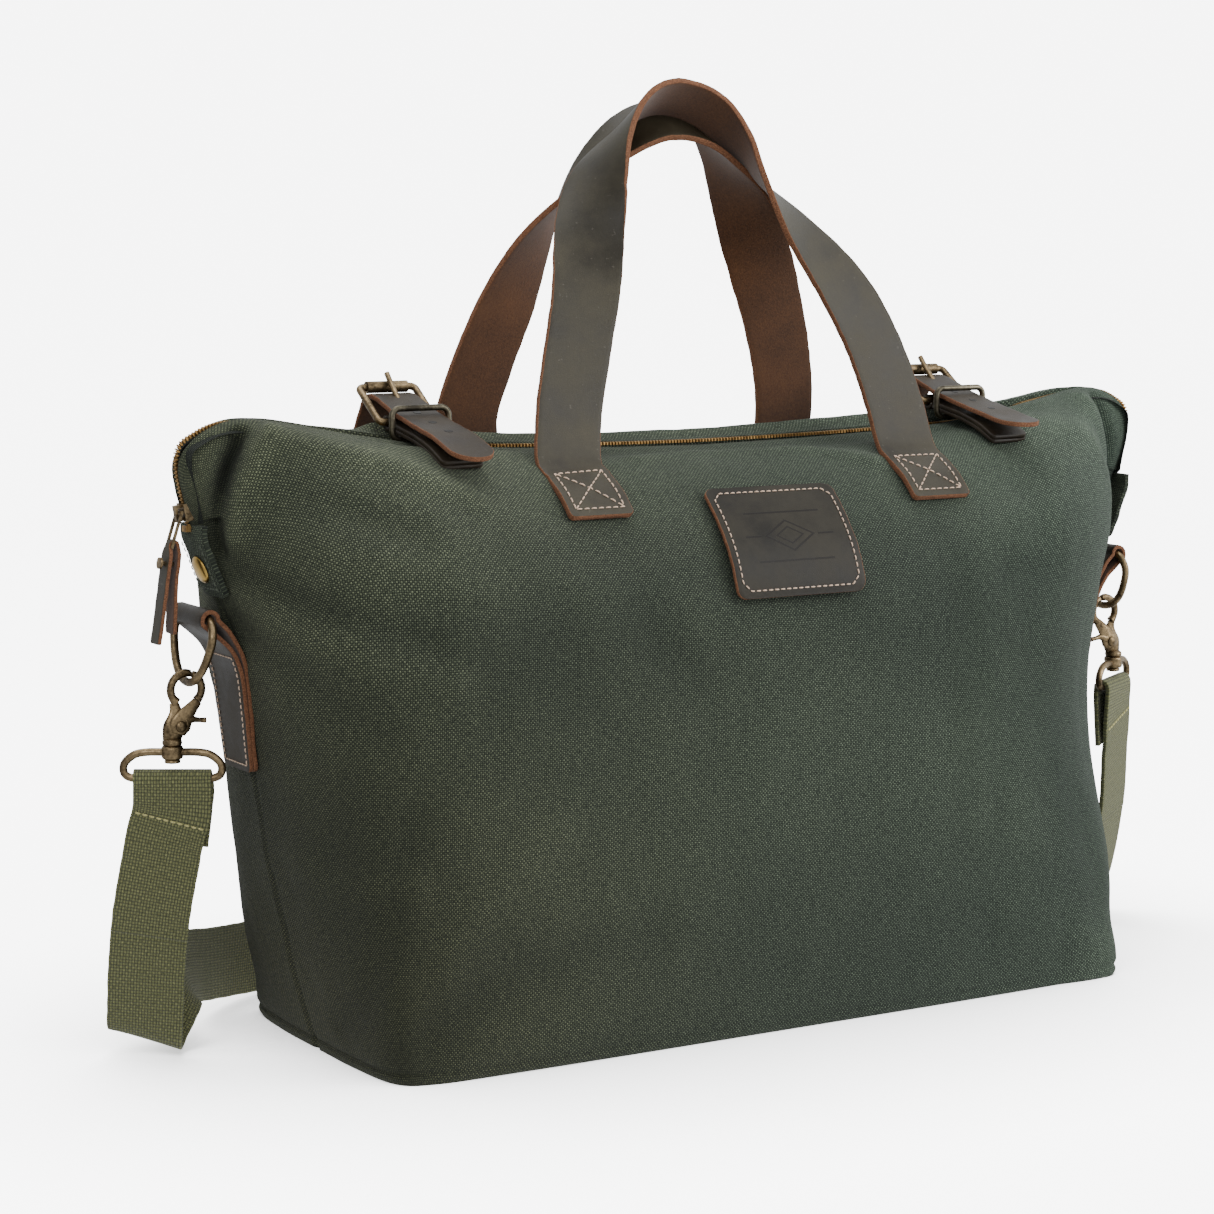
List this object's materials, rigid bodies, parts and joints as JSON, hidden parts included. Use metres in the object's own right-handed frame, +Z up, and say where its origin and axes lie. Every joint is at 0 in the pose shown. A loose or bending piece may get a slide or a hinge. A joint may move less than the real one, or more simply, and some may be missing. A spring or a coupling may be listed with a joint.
{
  "type": "weekender bag",
  "caption": "Soft canvas duffel bag with leather carry handles, roller-buckle closures over a zip, and a clip-on webbing shoulder strap on D-rings.",
  "frame": {"origin": "centre of the base on the surface that the bag stands on", "axes": "+X along the bag's length, -Y towards the front panel with the patch, +Z up"},
  "size_m": [0.6786, 0.2835, 0.5178],
  "materials": {
    "canvas": "waxed cotton canvas, plain weave, low sheen",
    "lining": "plain cotton",
    "board": "matt",
    "handle_leather": "oiled grain with raw rust-brown edges and suede back",
    "trim_leather": "oiled grain with raw rust-brown edges",
    "webbing": "coarse cotton webbing",
    "zip_tape": "woven tape",
    "zip_metal": "antique",
    "dark_bronze": "dark patina, polished high spots",
    "bright_brass": "satin",
    "antique_brass": "antique, satin"
  },
  "bodies": {
    "bag": {"back_handle_feet": "handle_leather", "back_panel": "canvas", "base_board": "board", "base_panel": "canvas", "front_handle_feet": "handle_leather", "front_panel": "canvas", "leather_patch": "trim_leather", "left_billet": "trim_leather", "left_chape": "trim_leather", "left_d_ring_tab": "trim_leather", "left_snap_stud": "bright_brass", "lining": "lining", "right_billet": "trim_leather", "right_chape": "trim_leather", "right_d_ring_tab": "trim_leather", "right_snap_stud": "bright_brass", "strap_adjuster": "antique_brass", "strap_left": "webbing", "strap_right": "webbing", "zip_stops": "zip_metal", "zip_tape_back": "zip_tape", "zip_tape_front": "zip_tape", "zip_teeth_back": "zip_metal", "zip_teeth_front": "zip_metal"},
    "front_handle": {"front_handle": "handle_leather"},
    "back_handle": {"back_handle": "handle_leather"},
    "zip_slider": {"zip_slider": "antique_brass"},
    "zip_puller": {"zip_puller": "antique_brass"},
    "zip_pull_tab": {"zip_pull_tab": "trim_leather", "pull_tab_rivet": "bright_brass"},
    "left_end_tab": {"left_end_tab": "canvas", "left_snap_cap": "bright_brass"},
    "left_buckle": {"left_buckle_frame": "antique_brass"},
    "left_roller": {"left_buckle_roller": "antique_brass"},
    "left_prong": {"left_buckle_prong": "antique_brass"},
    "left_keeper": {"left_keeper_ring": "dark_bronze"},
    "left_d_ring": {"left_d_ring": "antique_brass", "left_swivel_loop": "antique_brass", "left_strap_end": "webbing"},
    "left_hook": {"left_hook": "antique_brass"},
    "left_gate": {"left_hook_gate": "antique_brass"},
    "right_end_tab": {"right_end_tab": "canvas", "right_snap_cap": "bright_brass"},
    "right_buckle": {"right_buckle_frame": "antique_brass"},
    "right_roller": {"right_buckle_roller": "antique_brass"},
    "right_prong": {"right_buckle_prong": "antique_brass"},
    "right_keeper": {"right_keeper_ring": "dark_bronze"},
    "right_d_ring": {"right_d_ring": "antique_brass", "right_swivel_loop": "antique_brass", "right_strap_end": "webbing"},
    "right_hook": {"right_hook": "antique_brass"},
    "right_gate": {"right_hook_gate": "antique_brass"}
  },
  "joints": [
    {"name": "front_handle_swing", "type": "hinge", "parent": "bag", "child": "front_handle", "pos_m": [0, -0.046, 0.311], "axis": [1, 0, 0], "range_deg": [0, 75]},
    {"name": "back_handle_swing", "type": "hinge", "parent": "bag", "child": "back_handle", "pos_m": [0, 0.066, 0.301], "axis": [-1, 0, 0], "range_deg": [0, 105]},
    {"name": "zip_slide", "type": "slide", "parent": "bag", "child": "zip_slider", "axis": [-0.1738, 0, 0.9848], "range_m": [0, 0.02]},
    {"name": "zip_puller_swing", "type": "hinge", "parent": "zip_slider", "child": "zip_puller", "pos_m": [-0.3082, 0, 0.2898], "axis": [0, 1, 0], "range_deg": [0, 100]},
    {"name": "zip_pull_tab_swing", "type": "hinge", "parent": "zip_puller", "child": "zip_pull_tab", "pos_m": [-0.31382, 0, 0.27249], "axis": [0, 1, 0], "range_deg": [0, 75]},
    {"name": "left_end_tab_unsnap", "type": "hinge", "parent": "bag", "child": "left_end_tab", "pos_m": [-0.3004, 0, 0.277], "axis": [0, 1, 0], "range_deg": [0, 25]},
    {"name": "left_buckle_lift", "type": "hinge", "parent": "bag", "child": "left_buckle", "pos_m": [-0.176, 0.004, 0.33063], "axis": [1, 0, 0], "range_deg": [0, 5]},
    {"name": "left_roller_spin", "type": "hinge", "parent": "left_buckle", "child": "left_roller", "pos_m": [-0.176, 0.029, 0.34763], "axis": [1, 0, 0], "continuous": true},
    {"name": "left_prong_lift", "type": "hinge", "parent": "left_buckle", "child": "left_prong", "pos_m": [-0.176, 0.004, 0.33063], "axis": [1, 0, 0], "range_deg": [0, 8]},
    {"name": "left_keeper_slide", "type": "slide", "parent": "bag", "child": "left_keeper", "axis": [0, -0.9826, -0.1859], "range_m": [0, 0.01]},
    {"name": "left_d_ring_swing", "type": "hinge", "parent": "bag", "child": "left_d_ring", "pos_m": [-0.297, 0.008, 0.2345], "axis": [0, 1, 0], "range_deg": [0, 20]},
    {"name": "left_hook_swivel", "type": "hinge", "parent": "left_d_ring", "child": "left_hook", "pos_m": [-0.311, 0.008, 0.1652], "axis": [0, 0, 1], "range_deg": [-12, 12]},
    {"name": "left_gate_press", "type": "hinge", "parent": "left_hook", "child": "left_gate", "pos_m": [-0.307, 0.008, 0.1785], "axis": [0, 1, 0], "range_deg": [0, 15], "stiffness_Nm_per_rad": 0.02, "springref_deg": -11.46},
    {"name": "right_end_tab_unsnap", "type": "hinge", "parent": "bag", "child": "right_end_tab", "pos_m": [0.3004, 0, 0.277], "axis": [0, -1, 0], "range_deg": [0, 70]},
    {"name": "right_buckle_lift", "type": "hinge", "parent": "bag", "child": "right_buckle", "pos_m": [0.176, 0.004, 0.33063], "axis": [1, 0, 0], "range_deg": [0, 5]},
    {"name": "right_roller_spin", "type": "hinge", "parent": "right_buckle", "child": "right_roller", "pos_m": [0.176, 0.029, 0.34763], "axis": [1, 0, 0], "continuous": true},
    {"name": "right_prong_lift", "type": "hinge", "parent": "right_buckle", "child": "right_prong", "pos_m": [0.176, 0.004, 0.33063], "axis": [1, 0, 0], "range_deg": [0, 8]},
    {"name": "right_keeper_slide", "type": "slide", "parent": "bag", "child": "right_keeper", "axis": [0, -0.9826, -0.1859], "range_m": [0, 0.01]},
    {"name": "right_d_ring_swing", "type": "hinge", "parent": "bag", "child": "right_d_ring", "pos_m": [0.297, 0.008, 0.2345], "axis": [0, -1, 0], "range_deg": [0, 20]},
    {"name": "right_hook_swivel", "type": "hinge", "parent": "right_d_ring", "child": "right_hook", "pos_m": [0.311, 0.008, 0.1652], "axis": [0, 0, 1], "range_deg": [-12, 12]},
    {"name": "right_gate_press", "type": "hinge", "parent": "right_hook", "child": "right_gate", "pos_m": [0.307, 0.008, 0.1785], "axis": [0, -1, 0], "range_deg": [0, 15], "stiffness_Nm_per_rad": 0.02, "springref_deg": -11.46}
  ]
}
